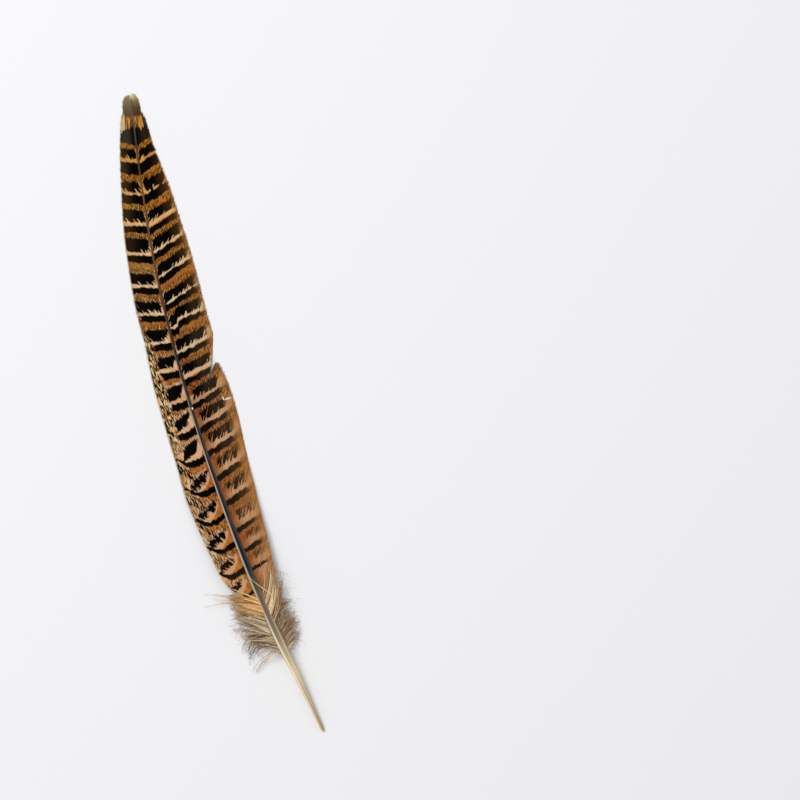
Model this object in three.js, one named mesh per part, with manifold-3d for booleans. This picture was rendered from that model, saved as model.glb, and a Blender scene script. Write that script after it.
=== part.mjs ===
// A pheasant's tail feather lying on its underside: quill, shaft, both vanes and the downy barbs
// at their foot, grown as one piece. Millimetres, +Z up, +Y from the quill's end to the feather's
// tip. Its curves are worked out from the quill's end; the group then has its origin in the middle
// of the feather's box, on the surface that the feather lies on.
import * as THREE from "three";
import { mergeVertices } from "three/addons/utils/BufferGeometryUtils.js";
import Module from "manifold-3d";

const wasm = await Module();
wasm.setup();

// ---- Driving dimensions ----

const LENGTH = 250; // quill end to tip, in a straight line
const SHAFT_END = 248.6; // the shaft stops just short of the two vanes' tips

// Each profile is a list of [distance from the quill's end, value], joined by a smooth curve.
// The shaft bends like a sickle: this is how far its middle lies to the right of the quill's end.
const CENTRE_LINE = [
  [0, 0], [18, -2.7], [40, -6.3], [65, -9.2], [90, -11.1], [120, -12.4], [150, -12.4],
  [185, -10.4], [220, -5.9], [250, -0.8],
];
const LEFT_WIDTH = [
  [48, 7.5], [61.7, 9.6], [67, 11.1], [75, 11.9], [97, 13.2], [112, 12.4], [142, 11.7],
  [157, 10.8], [172, 10.9], [187, 10.2], [202, 9.4], [217, 7.9], [228, 6.8], [236, 5.7],
  [242.4, 4.6], [243.6, 3.9], [247, 3.5], [249.2, 2.4], [250, 0.7],
];
const RIGHT_WIDTH_BELOW_SPLIT = [
  [50, 7.5], [67, 9.8], [75, 11.1], [86, 12.2], [97, 13.5], [112, 14.9], [120, 15.8],
  [131, 16.2], [139, 15.7], [144.5, 14.6], [147, 13.4],
];
const RIGHT_WIDTH_ABOVE_SPLIT = [
  [140, 12.9], [144.5, 12.4], [148, 13.8], [152, 14.9], [157, 15.4], [168, 15.1], [180, 14.8],
  [191, 13.9], [202, 12.4], [213, 10.6], [224, 8.0], [232, 6.1], [239, 4.9], [242.4, 4.0],
  [243.6, 3.3], [247, 2.9], [249.2, 2.0], [250, 0.6],
];
// The right vane's form runs on smoothly past the split.
const RIGHT_FORM = [
  [50, 7.5], [67, 9.8], [86, 12.2], [112, 14.9], [131, 16.1], [157, 15.6], [180, 14.8],
  [202, 12.4], [224, 8.0], [239, 4.9], [250, 2.0],
];
const SHAFT_HALF_WIDTH = [
  [0, 0.62], [10, 0.85], [20, 1.2], [38, 1.8], [50, 1.75], [62, 1.6], [75, 1.42], [95, 1.15],
  [112, 0.95], [130, 0.78], [150, 0.66], [187, 0.52], [224, 0.4], [250, 0.3],
];
const SHAFT_TOP = [
  [0, 1.05], [20, 3.3], [38, 5.1], [60, 6.1], [90, 6.4], [130, 5.9], [170, 4.8], [210, 3.2],
  [235, 1.9], [250, 0.9],
];
const LEFT_MARGIN_LIFT = [[48, 3.4], [75, 2.6], [95, 1.1], [112, 0], [250, 0]];
const RIGHT_MARGIN_LIFT = [[50, 3.2], [75, 2.2], [92, 0.9], [108, 0], [250, 0]];

const VANE_THICK_AT_SHAFT = 0.7;
const VANE_THICK_AT_MARGIN = 0.36;
const VANE_THINNEST = 0.3;
const BARB_RIB = 0.12; // height of the ribs that the barbs make on the upper side
const BARB_TIP_STEP = 0.25; // every other rib ends this much sooner
const VANE_ROOT = 0.5; // how far below the shaft's top a vane leaves it, in half widths of the shaft
const FLAT_FROM = 0.88; // from this share of its width out, a vane lies on its flat margin
const RIB_POINTS = [0, 0.3, 0.62, 0.9, 1]; // shares of the way out along a barb
const SHAFT_DEPTH = 1.12; // depth of the shaft for each unit of width, once the vanes begin
const SHAFT_SIDES = 10;
const SHAFT_STATIONS = [0, 0.4, 1.5, 6, 12, 18, 24, 30, 37, 44, 50, 56, 64, 75, 87, 100, 113, 126];
const SHAFT_STEP = 13.5; // above those stations the shaft is nearly straight
const BLUNT_END = 1.5; // the quill rounds off over this length
const BLUNT_SHARE = 0.55; // width of its end beside the full width

// A barb leaves the shaft at about 30 degrees and bends towards the tip on its way out.
// Forward reach for each mm outward, at the shaft:
const BARB_SLOPE = [[45, 1.0], [52, 1.08], [60, 1.2], [80, 1.6], [115, 1.8]];
const BARB_BEND = 0.01; // added forward reach for each mm outward, squared
const TIP_SLOPE = 1.6; // added slope of the barbs at the very tip
const TIP_STARTS = 205;
const BARB_PITCH = 5; // distance between the ribs along the shaft

const SPLIT_ROOT = 121; // the barbs rooted here have come unhooked from each other
const SPLIT_STARTS = 6.5; // distance from the shaft where the slit between them starts
const SPLIT_OPENING = 0.045; // opening for each mm further out, squared
const SPLIT_FADE = 6; // the barbs within this distance along the shaft give way

const LEFT = {
  side: -1,
  firstRoot: 49.5,
  lastRoot: 247.4,
  width: LEFT_WIDTH,
  form: LEFT_WIDTH,
  lift: LEFT_MARGIN_LIFT,
  givesWay: 0,
};
const RIGHT_BELOW_SPLIT = {
  side: 1,
  firstRoot: 51,
  lastRoot: SPLIT_ROOT,
  width: RIGHT_WIDTH_BELOW_SPLIT,
  form: RIGHT_FORM,
  lift: RIGHT_MARGIN_LIFT,
  givesWay: -1,
};
const RIGHT_ABOVE_SPLIT = {
  side: 1,
  firstRoot: SPLIT_ROOT,
  lastRoot: 247.4,
  width: RIGHT_WIDTH_ABOVE_SPLIT,
  form: RIGHT_FORM,
  lift: RIGHT_MARGIN_LIFT,
  givesWay: 1,
};

// ---- Curves that everything hangs on ----

// Value of a smooth curve through the profile's points.
function along(profile, s) {
  const last = profile.length - 1;
  if (s <= profile[0][0]) return profile[0][1];
  if (s >= profile[last][0]) return profile[last][1];
  const i = profile.findIndex(([at]) => at > s) - 1;
  const slope = (k) => {
    const [a, b] = [profile[Math.max(k - 1, 0)], profile[Math.min(k + 1, last)]];
    return (b[1] - a[1]) / (b[0] - a[0]);
  };
  const [[s0, v0], [s1, v1]] = [profile[i], profile[i + 1]];
  const span = s1 - s0;
  const t = (s - s0) / span;
  const rise = t * t * (3 - 2 * t);
  const start = t * (1 - t) * (1 - t) * span * slope(i);
  const end = t * t * (1 - t) * span * slope(i + 1);
  return v0 + (v1 - v0) * rise + start - end;
}

// Sideways place of the shaft's middle.
function shaftX(s) {
  return along(CENTRE_LINE, s);
}

// Point in plan at distance d to the right of the shaft's centre line at s.
function inPlan(s, d) {
  const step = 0.5;
  const lean = (shaftX(s + step) - shaftX(s - step)) / (2 * step);
  const norm = Math.hypot(1, lean);
  return [shaftX(s) + d / norm, s - (d * lean) / norm];
}

// Where a barb rooted at the given place has got to when it is d mm away from the shaft.
function barbReach(root, d) {
  const t = THREE.MathUtils.smoothstep(root, TIP_STARTS, LENGTH);
  return root + (along(BARB_SLOPE, root) + TIP_SLOPE * t) * d + BARB_BEND * d * d;
}

// How far out a barb goes before it meets the margin.
function barbExtent(root, width) {
  const step = 0.05;
  let d = 0.3;
  while (d < along(width, barbReach(root, d))) d += step;
  return d;
}

// Height of the middle of the vane: it leaves the upper part of the shaft and arches down and out.
function vaneHeight(web, s, d) {
  const root = along(SHAFT_TOP, s) - VANE_ROOT * along(SHAFT_HALF_WIDTH, s);
  const foot = along(web.lift, s) + VANE_THICK_AT_MARGIN / 2;
  const out = Math.min(1, d / (along(web.form, s) * FLAT_FROM));
  return foot + Math.max(0, root - foot) * (1 - out ** 1.7) ** 1.3;
}

// ---- Solids ----

// A closed body from rings of points that all have the same count, with both ends capped.
function bodyOfRings(rings) {
  const count = rings[0].length;
  const faces = [];
  for (let k = 0; k + 1 < rings.length; k++) {
    for (let i = 0; i < count; i++) {
      const j = (i + 1) % count;
      const [a, b, c, d] = [k * count + i, k * count + j, (k + 1) * count + j, (k + 1) * count + i];
      faces.push([a, b, c], [a, c, d]);
    }
  }
  const last = (rings.length - 1) * count;
  for (let i = 1; i + 1 < count; i++) {
    faces.push([0, i + 1, i], [last, last + i, last + i + 1]);
  }
  return solidOf(rings.flat(), faces);
}

function solidOf(points, faces) {
  const geometry = new THREE.BufferGeometry();
  geometry.setAttribute("position", new THREE.Float32BufferAttribute(points.flat(), 3));
  geometry.setIndex(faces.flat());
  const merged = mergeVertices(geometry, 1e-4);
  const solid = new wasm.Manifold(
    new wasm.Mesh({
      numProp: 3,
      vertProperties: merged.attributes.position.array,
      triVerts: new Uint32Array(merged.index.array),
    }),
  );
  return solid.volume() < 0 ? turnedOut(points, faces) : solid;
}

function turnedOut(points, faces) {
  return solidOf(points, faces.map(([a, b, c]) => [a, c, b]));
}

// One web of barbs. Each rib's section runs out along its barb on top and back underneath.
function vane(web) {
  const ribs = Math.round((web.lastRoot - web.firstRoot) / BARB_PITCH) * 2;
  const rings = [];
  for (let k = 0; k <= ribs; k++) {
    const root = THREE.MathUtils.lerp(web.firstRoot, web.lastRoot, k / ribs);
    rings.push(ribSection(web, root, k % 2));
  }
  return bodyOfRings(rings);
}

function ribSection(web, root, raised) {
  const extent = barbExtent(root, web.width) - (raised ? 0 : BARB_TIP_STEP);
  const top = [];
  const under = [];
  for (const share of RIB_POINTS) {
    const d = share * extent;
    const s = barbReach(root, d) + splitShift(web, root, d);
    const [x, y] = inPlan(s, web.side * (share ? d : -0.1));
    const thick = THREE.MathUtils.lerp(VANE_THICK_AT_SHAFT, VANE_THICK_AT_MARGIN, share);
    const middle = vaneHeight(web, s, d);
    const low = Math.max(0, middle - thick / 2);
    const high = Math.max(middle + thick / 2, low + VANE_THINNEST);
    top.push([x, y, high + (raised ? BARB_RIB : 0)]);
    under.unshift([x, y, low]);
  }
  return [...top, ...under];
}

// How far a barb beside the split has moved along the feather, away from the slit.
function splitShift(web, root, d) {
  const near = Math.max(0, 1 - Math.abs(root - SPLIT_ROOT) / SPLIT_FADE);
  return web.givesWay * near * SPLIT_OPENING * Math.max(0, d - SPLIT_STARTS) ** 2;
}

// The hollow quill and the solid shaft that carries the vanes, as one tapering body.
function shaft() {
  const stations = [...SHAFT_STATIONS];
  for (let s = stations.at(-1) + SHAFT_STEP; s < SHAFT_END; s += SHAFT_STEP) stations.push(s);
  stations.push(SHAFT_END);
  const rings = stations.map((s) => {
    const blunt = THREE.MathUtils.lerp(BLUNT_SHARE, 1, Math.min(1, s / BLUNT_END));
    const half = along(SHAFT_HALF_WIDTH, s) * blunt;
    const deep = half * THREE.MathUtils.lerp(1, SHAFT_DEPTH, THREE.MathUtils.smoothstep(s, 40, 75));
    const middle = along(SHAFT_TOP, s) - along(SHAFT_HALF_WIDTH, s) * (deep / half);
    return Array.from({ length: SHAFT_SIDES }, (_, i) => {
      const turn = ((i + 0.5) / SHAFT_SIDES) * 2 * Math.PI;
      const [x, y] = inPlan(s, half * Math.cos(turn));
      return [x, y, Math.max(0, middle + deep * Math.sin(turn))];
    });
  });
  return bodyOfRings(rings);
}

// ---- Downy barbs ----

const DOWN_LOCKS_A_SIDE = 20;
const DOWN_FIRST_ROOT = 33;
const DOWN_LAST_ROOT = 54;
const DOWN_STEPS = 5;
const DOWN_HALF_WIDTH = 0.9;
const DOWN_TAPER = 0.85; // share of that width lost by the lock's end
const DOWN_TIP_HEIGHT = 0.5;
const DOWN_CURL = 22; // degrees that a lock bends outward by its end, more or less
const DOWN_UNEVEN_LENGTH = 0.24; // how much the locks differ in length, as a share
const DOWN_UNEVEN_ANGLE = 10; // and in their leaving angle, in degrees

// Length and leaving angle of the locks, from place to place on the shaft.
const LEFT_DOWN = {
  side: -1,
  length: [[33, 13], [38, 17], [46, 15], [54, 11]],
  angle: [[33, 38], [44, 38], [54, 54]],
};
const RIGHT_DOWN = {
  side: 1,
  length: [[33, 8], [44, 13], [54, 15.5]],
  angle: [[33, 56], [44, 38], [54, 20]],
};

// A few long barbs have strayed from the rest: side, root, length, leaving angle and curl in degrees.
const STRAYS = [
  [-1, 51.5, 23.5, 54, 12],
  [-1, 50.5, 17, 50, 20],
  [-1, 36, 15, 52, 70],
  [-1, 34, 15, 88, 45],
  [1, 52, 17, 18, 10],
];

// A number from 0 up to 1 that looks random but is always the same for the same place.
function scatter(place) {
  const wave = Math.sin(place * 127.1 + 11.7) * 43758.5453;
  return wave - Math.floor(wave);
}

// A lock of down leaves the shaft's side, sweeps forward and out, and droops to the surface.
function downLock(side, root, long, leaving, curl) {
  const rootHeight = along(SHAFT_TOP, root) - along(SHAFT_HALF_WIDTH, root);
  const rings = [];
  let [s, d] = [root, 0];
  for (let k = 0; k <= DOWN_STEPS; k++) {
    const t = k / DOWN_STEPS;
    const heading = THREE.MathUtils.degToRad(leaving + curl * t);
    const [forward, outward] = [Math.cos(heading), Math.sin(heading)];
    const half = DOWN_HALF_WIDTH * (1 - DOWN_TAPER * t);
    const height = THREE.MathUtils.lerp(rootHeight, DOWN_TIP_HEIGHT, t ** 1.3);
    const corner = (across, z) => {
      const [x, y] = inPlan(s - across * outward, side * (d + across * forward));
      return [x, y, z];
    };
    const low = Math.max(0, height - half);
    rings.push([corner(half, low), corner(0, height), corner(-half, low)]);
    s += (forward * long) / DOWN_STEPS;
    d += (outward * long) / DOWN_STEPS;
  }
  return bodyOfRings(rings);
}

function down() {
  const locks = STRAYS.map((stray) => downLock(...stray));
  for (const { side, length, angle } of [LEFT_DOWN, RIGHT_DOWN]) {
    for (let i = 0; i < DOWN_LOCKS_A_SIDE; i++) {
      const seed = i * 3 + (side > 0 ? 100 : 0);
      const share = i / (DOWN_LOCKS_A_SIDE - 1);
      const root = THREE.MathUtils.lerp(DOWN_FIRST_ROOT, DOWN_LAST_ROOT, share);
      const long = along(length, root) * (1 + DOWN_UNEVEN_LENGTH * (scatter(seed) - 0.5));
      const leaving = along(angle, root) + DOWN_UNEVEN_ANGLE * (scatter(seed + 1) - 0.5);
      const curl = DOWN_CURL * 2 * scatter(seed + 2);
      locks.push(downLock(side, root, long, leaving, curl));
    }
  }
  return locks;
}

// ---- The feather ----

function joined(solids) {
  return solids.reduce((whole, next) => whole.add(next));
}

function meshOf(name, solid, material) {
  const { vertProperties, triVerts } = solid.getMesh();
  const geometry = new THREE.BufferGeometry();
  geometry.setAttribute("position", new THREE.BufferAttribute(vertProperties, 3));
  geometry.setIndex(new THREE.BufferAttribute(triVerts, 1));
  const mesh = new THREE.Mesh(geometry, material);
  mesh.name = name;
  return mesh;
}

const keratin = new THREE.MeshStandardMaterial({ color: 0xb07a3c, roughness: 0.62, metalness: 0 });
const feather = joined([
  shaft(),
  vane(LEFT),
  vane(RIGHT_BELOW_SPLIT),
  vane(RIGHT_ABOVE_SPLIT),
  ...down(),
]);

const group = new THREE.Group();
const mesh = meshOf("feather", feather, keratin);
const middle = new THREE.Box3().setFromObject(mesh).getCenter(new THREE.Vector3());
mesh.position.set(-middle.x, -middle.y, 0);
group.add(mesh);

export default group;
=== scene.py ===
# %% [markdown]
# # A pheasant's tail feather, barb by barb
# A feather is a stiff shaft with a flat vane on each side. Each vane is a row of several hundred
# barbs, held to their neighbours by tiny hooks, and at the foot of the vanes the barbs are loose
# and downy. The solid model gives the size and the place of all of this. Here every barb becomes
# a mesh of its own form, because the barbs give a feather its grain, its sheen and its frayed edge.

# %% Load the solid model
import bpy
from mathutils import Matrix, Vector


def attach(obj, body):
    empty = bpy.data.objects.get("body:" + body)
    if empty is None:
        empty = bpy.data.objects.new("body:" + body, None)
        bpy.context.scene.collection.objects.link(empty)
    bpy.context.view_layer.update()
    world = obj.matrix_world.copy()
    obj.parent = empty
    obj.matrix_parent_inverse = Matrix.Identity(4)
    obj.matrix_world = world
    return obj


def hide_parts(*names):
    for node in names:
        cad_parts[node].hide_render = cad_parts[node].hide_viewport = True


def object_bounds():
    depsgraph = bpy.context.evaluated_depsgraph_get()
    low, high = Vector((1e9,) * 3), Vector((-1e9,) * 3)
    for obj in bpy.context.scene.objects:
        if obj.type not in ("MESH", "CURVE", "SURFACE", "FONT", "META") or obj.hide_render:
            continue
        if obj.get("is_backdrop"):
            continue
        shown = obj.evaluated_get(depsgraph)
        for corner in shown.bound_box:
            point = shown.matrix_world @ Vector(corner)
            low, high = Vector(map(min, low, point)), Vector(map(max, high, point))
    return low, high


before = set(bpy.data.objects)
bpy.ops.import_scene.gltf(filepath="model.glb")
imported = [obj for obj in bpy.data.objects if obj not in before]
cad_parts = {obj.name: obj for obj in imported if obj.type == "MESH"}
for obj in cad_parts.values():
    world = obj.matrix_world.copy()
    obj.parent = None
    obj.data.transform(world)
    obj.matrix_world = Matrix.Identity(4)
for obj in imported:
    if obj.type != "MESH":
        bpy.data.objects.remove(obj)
solid_box = [list(corner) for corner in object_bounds()]

import math

import bpy
import numpy as np
from mathutils import Matrix, Vector

MM = 0.001
NODE = "feather"
print("solid box in mm:", [[round(v / MM, 2) for v in corner] for corner in solid_box])

# %% [markdown]
# ## The curves that everything hangs on
# All places on the feather are told by three numbers. `along` is the distance from the quill's
# end up the shaft, `across` is the distance out from the shaft, and `root` is the place on the
# shaft where a barb starts. The shaft bends like a sickle, so one function turns these numbers
# into points. The same few profiles shape the solid, and using them again here keeps each barb
# exactly where the solid vane is.

# %% Profiles of the feather, in millimetres
LENGTH = 250
SHAFT_END = 248.6
QUILL_END_X = 12.501
QUILL_END_Y = -124.972


def smooth_curve(points):
    """A function that runs smoothly through the points, for one number or for an array."""
    at = np.array([p[0] for p in points], float)
    value = np.array([p[1] for p in points], float)
    before = np.maximum(np.arange(len(at)) - 1, 0)
    after = np.minimum(np.arange(len(at)) + 1, len(at) - 1)
    slope = (value[after] - value[before]) / (at[after] - at[before])

    def curve(s):
        s = np.clip(np.asarray(s, float), at[0], at[-1])
        i = np.clip(np.searchsorted(at, s, side="right") - 1, 0, len(at) - 2)
        span = at[i + 1] - at[i]
        t = (s - at[i]) / span
        rise = t * t * (3 - 2 * t)
        start = t * (1 - t) ** 2 * span * slope[i]
        end = t * t * (1 - t) * span * slope[i + 1]
        return value[i] + (value[i + 1] - value[i]) * rise + start - end

    return curve


centre_line = smooth_curve([
    (0, 0), (18, -2.7), (40, -6.3), (65, -9.2), (90, -11.1), (120, -12.4), (150, -12.4),
    (185, -10.4), (220, -5.9), (250, -0.8)])
left_width = smooth_curve([
    (48, 7.5), (61.7, 9.6), (67, 11.1), (75, 11.9), (97, 13.2), (112, 12.4), (142, 11.7),
    (157, 10.8), (172, 10.9), (187, 10.2), (202, 9.4), (217, 7.9), (228, 6.8), (236, 5.7),
    (242.4, 4.6), (243.6, 3.9), (247, 3.5), (249.2, 2.4), (250, 0.7)])
right_width_below_split = smooth_curve([
    (50, 7.5), (67, 9.8), (75, 11.1), (86, 12.2), (97, 13.5), (112, 14.9), (120, 15.8),
    (131, 16.2), (139, 15.7), (144.5, 14.6), (147, 13.4)])
right_width_above_split = smooth_curve([
    (140, 12.9), (144.5, 12.4), (148, 13.8), (152, 14.9), (157, 15.4), (168, 15.1),
    (180, 14.8), (191, 13.9), (202, 12.4), (213, 10.6), (224, 8.0), (232, 6.1), (239, 4.9),
    (242.4, 4.0), (243.6, 3.3), (247, 2.9), (249.2, 2.0), (250, 0.6)])
right_form = smooth_curve([
    (50, 7.5), (67, 9.8), (86, 12.2), (112, 14.9), (131, 16.1), (157, 15.6), (180, 14.8),
    (202, 12.4), (224, 8.0), (239, 4.9), (250, 2.0)])
shaft_half_width = smooth_curve([
    (0, 0.62), (10, 0.85), (20, 1.2), (38, 1.8), (50, 1.75), (62, 1.6), (75, 1.42), (95, 1.15),
    (112, 0.95), (130, 0.78), (150, 0.66), (187, 0.52), (224, 0.4), (250, 0.3)])
shaft_top = smooth_curve([
    (0, 1.05), (20, 3.3), (38, 5.1), (60, 6.1), (90, 6.4), (130, 5.9), (170, 4.8), (210, 3.2),
    (235, 1.9), (250, 0.9)])
left_lift = smooth_curve([(48, 3.4), (75, 2.6), (95, 1.1), (112, 0), (250, 0)])
right_lift = smooth_curve([(50, 3.2), (75, 2.2), (92, 0.9), (108, 0), (250, 0)])


# %% From feather numbers to points
def in_plan(s, d):
    """The point seen from above, d mm to the right of the shaft's centre line."""
    step = 0.5
    lean = (centre_line(s + step) - centre_line(s - step)) / (2 * step)
    norm = np.hypot(1, lean)
    return QUILL_END_X + centre_line(s) + d / norm, QUILL_END_Y + s - d * lean / norm


tip_x, tip_y = in_plan(LENGTH, 0)
print(f"shaft runs from {QUILL_END_X:.1f}, {QUILL_END_Y:.1f} to {tip_x:.1f}, {tip_y:.1f} mm")

# %% [markdown]
# ## One helper that makes every mesh
# A piece here is thousands of small bodies in one mesh, so it is built from number arrays, which
# is far quicker than adding faces one by one. The helper also stores named numbers on the points.
# The materials read them, so a colour can follow the barbs instead of a flat picture.


# %% Mesh helper
def make_piece(name, points, faces, numbers, layout, smooth=True):
    """One mesh piece from millimetre points; layout gives each face corner its place on the map."""
    mesh = bpy.data.meshes.new(name)
    face_list = faces.tolist() if isinstance(faces, np.ndarray) else faces
    mesh.from_pydata((np.asarray(points) * MM).tolist(), [], face_list)
    for label, values in numbers.items():
        store = mesh.attributes.new(label, "FLOAT", "POINT")
        store.data.foreach_set("value", np.asarray(values, np.float32))
    if layout is not None:
        flat_map = mesh.uv_layers.new(name="OFBake")
        flat_map.data.foreach_set("uv", np.asarray(layout, np.float32).ravel())
    mesh.polygons.foreach_set("use_smooth", [smooth] * len(mesh.polygons))
    mesh.update()
    piece = bpy.data.objects.new(name, mesh)
    bpy.context.scene.collection.objects.link(piece)
    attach(piece, "root")
    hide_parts(NODE)
    print(f"{name}: {len(mesh.vertices)} points, {len(mesh.polygons)} faces")
    return piece


# %% [markdown]
# ## The barbs of the vanes
# On the real feather a barb is a thin rib with a narrow web on both sides, and the webs hook into
# each other like zips. A flat sheet with a bump map would lose the frayed edge, so each barb is
# its own flat lens: a ridge on top, a keel below and two thin edges that meet the next barbs.
# A barb leaves the shaft at about 30 degrees and bends a little towards the tip. Lower down the
# barbs stand out more, so neighbours spread like a fan and never cross.

# %% How a barb runs
barb_slope = smooth_curve([(45, 1.0), (52, 1.08), (60, 1.2), (80, 1.6), (115, 1.8)])
BARB_BEND = 0.01
TIP_SLOPE = 1.6
TIP_STARTS = 205
VANE_THICK_AT_MARGIN = 0.36
VANE_ROOT = 0.5  # how far below the shaft's top a vane leaves it, in half widths of the shaft
FLAT_FROM = 0.88
FIRST_BARB = 51.5
LAST_BARB = 248.3
BARB_SPACING = 0.42
BARB_OVERLAP = 1.45  # width of a barb beside its spacing
BARB_STEPS = 34
RIDGE = 0.13
KEEL = 0.6  # depth of the keel beside the height of the ridge
POINTED_FROM = 0.94  # share of its length from which a barb tapers
UNEVEN_MARGIN = 0.08
UNEVEN_HEIGHT = 0.07
LOWEST = 0.02  # nothing dips below this height over the table
SPLIT_ROOT = 121
SPLIT_STARTS = 6.5
SPLIT_OPENING = 0.045
SPLIT_FADE = 6
random_numbers = np.random.default_rng(7)


def smoothstep(x, low, high):
    t = np.clip((x - low) / (high - low), 0, 1)
    return t * t * (3 - 2 * t)


def barb_reach(root, d):
    """Where a barb has got to along the shaft when it is d mm out."""
    extra = TIP_SLOPE * smoothstep(root, TIP_STARTS, LENGTH)
    return root + (barb_slope(root) + extra) * d + BARB_BEND * d * d


def barb_extent(roots, width):
    """How far out each barb meets the margin."""
    d = np.arange(0.3, 18, 0.02)
    outside = d[None, :] >= width(barb_reach(roots[:, None], d[None, :]))
    return d[outside.argmax(axis=1)]


def vane_height(s, d, form, lift):
    root = shaft_top(s) - VANE_ROOT * shaft_half_width(s)
    foot = lift(s) + VANE_THICK_AT_MARGIN / 2
    out = np.clip(d / (form(s) * FLAT_FROM), 0, 1)
    return foot + np.maximum(0, root - foot) * (1 - out ** 1.7) ** 1.3


# %% [markdown]
# Small slits are part of the look of a used feather. Beside a slit the barbs lean away from it,
# the more the further out they are. One large slit opens the right vane halfway up, and a few
# small ones break the margins.

# %% Where the vanes have come unzipped: root, start of the slit, opening, how far barbs give way
LEFT_SLITS = [(231.5, 3.2, 0.10, 3), (113, 9.6, 0.05, 4), (66, 8.5, 0.03, 3)]
RIGHT_SLITS = [(230.5, 2.9, 0.16, 3), (SPLIT_ROOT, SPLIT_STARTS, SPLIT_OPENING, SPLIT_FADE),
               (60, 7.5, 0.03, 3)]


def slit_shift(roots, d, slits):
    shift = np.zeros(np.broadcast(roots, d).shape)
    for root, start, opening, fade in slits:
        near = np.clip(1 - np.abs(roots - root) / fade, 0, 1)
        shift += np.sign(roots - root) * near * opening * np.clip(d - start, 0, None) ** 2
    return shift


# %% [markdown]
# ## Where the markings lie
# The dye is laid down while the barbs grow, so the marks follow feather numbers, not straight
# lines on the table. A hen's tail repeats one unit again and again. Going up the shaft it is a
# clean black bar, a cream line, a ragged black bar and a chestnut zone with specks. Each row
# below is one unit. The points get the distance to the nearest edge of each mark, because a
# distance stays smooth between points, and the material can then cut a crisp edge at it and
# fray it barb by barb.

# %% One row a unit: clean bar's place, half height and slope, then the ragged bar above it:
# its lead over the clean bar, half height, inner end, outer end
LEFT_UNITS = [
    (222.0, 2.40, 0.26, 5.6, 1.50, 0.9, 12), (210.4, 1.90, 0.24, 4.7, 1.65, 0.9, 12),
    (199.2, 1.25, 0.21, 5.2, 2.00, 0.9, 12), (187.8, 1.20, 0.25, 5.3, 2.20, 1.0, 12),
    (175.8, 1.20, 0.26, 4.5, 1.75, 1.2, 12), (165.3, 1.10, 0.24, 4.4, 1.75, 1.5, 12),
    (154.6, 1.25, 0.17, 4.5, 1.90, 1.5, 9.9), (143.9, 1.25, 0.12, 5.0, 1.95, 1.5, 9.0),
    (132.4, 1.25, 0.04, 5.2, 2.15, 1.7, 10.2), (122.2, 1.30, 0.0, 4.6, 1.90, 2.0, 9.2),
    (111.2, 1.20, 0.05, 5.1, 2.05, 2.3, 7.8), (99.4, 1.05, 0.05, 4.6, 1.80, 2.7, 9.6),
    (88.8, 1.05, -0.08, 4.2, 1.65, 3.0, 10.6), (77.6, 0.95, -0.04, 4.3, 1.45, 3.4, 10.6),
    (67.6, 1.05, -0.05, 4.4, 1.20, 3.6, 10.0), (58.4, 0.70, 0.0, 4.6, 0.90, 4.4, 9.6)]
RIGHT_UNITS = [
    (221.9, 2.25, 0.52, 5.0, 1.50, 0.8, 12), (210.4, 1.80, 0.42, 4.6, 1.65, 0.8, 13),
    (198.3, 1.20, 0.46, 5.1, 1.65, 0.8, 14), (188.6, 1.20, 0.45, 4.5, 1.80, 0.8, 14),
    (179.0, 1.20, 0.45, 4.2, 1.60, 0.9, 14), (168.7, 1.20, 0.40, 3.8, 1.50, 0.9, 14),
    (159.4, 1.20, 0.20, 4.3, 1.60, 0.9, 14), (149.8, 1.10, 0.26, 4.4, 1.70, 1.2, 13),
    (140.0, 1.10, 0.22, 4.7, 1.45, 1.0, 12), (130.3, 0.95, 0.26, 4.3, 1.60, 2.0, 12),
    (121.2, 1.00, 0.26, 4.5, 1.50, 2.6, 13), (111.9, 1.15, 0.24, 4.8, 1.70, 3.0, 13),
    (101.9, 1.10, 0.28, 4.9, 1.80, 3.0, 12.5), (91.9, 1.05, 0.26, 4.9, 1.70, 3.5, 12.5),
    (81.0, 0.90, 0.24, 5.0, 1.60, 3.6, 11.5), (73.1, 0.80, 0.20, 4.6, 1.30, 4.0, 11),
    (65.6, 0.65, 0.18, 4.2, 0.90, 4.0, 10)]
FAULT = 159.4  # the right vane's bar here has slipped by this much where it leaves the shaft:
FAULT_SLIP = 2.1
ABOVE_LAST_BAR = 12  # height of the zone above the last bar
print("units:", len(LEFT_UNITS), "on the left vane,", len(RIGHT_UNITS), "on the right")

# %% Where the marks lie
# how far out the clean bars reach on each side, from place to place
bar_reach = {
    -1: smooth_curve([(50, 10.5), (75, 12.5), (110, 13.5), (124, 13), (132, 8.6), (144, 7.8),
                      (156, 8.8), (167, 10.5), (180, 16), (250, 16)]),
    1: smooth_curve([(50, 8), (75, 13), (110, 17), (250, 18)])}


def bar_rise(side, place, slope, d):
    """How far a bar has climbed when it is d mm out from the shaft."""
    if side < 0:
        out = np.minimum(d, 11.2)
        crescent = -0.20 * out - 0.045 * out ** 2 + 0.0072 * out ** 3
        low = 1 - smoothstep(np.array(place), 118, 138)
        return slope * d + crescent * low
    turned_up = 0.03 * np.clip(d - 9, 0, None) ** 2
    rise = slope * d + turned_up * (1 - smoothstep(np.array(place), 135, 160))
    return rise + (FAULT_SLIP * smoothstep(d, 3.0, 4.2) if place == FAULT else 0)


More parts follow.
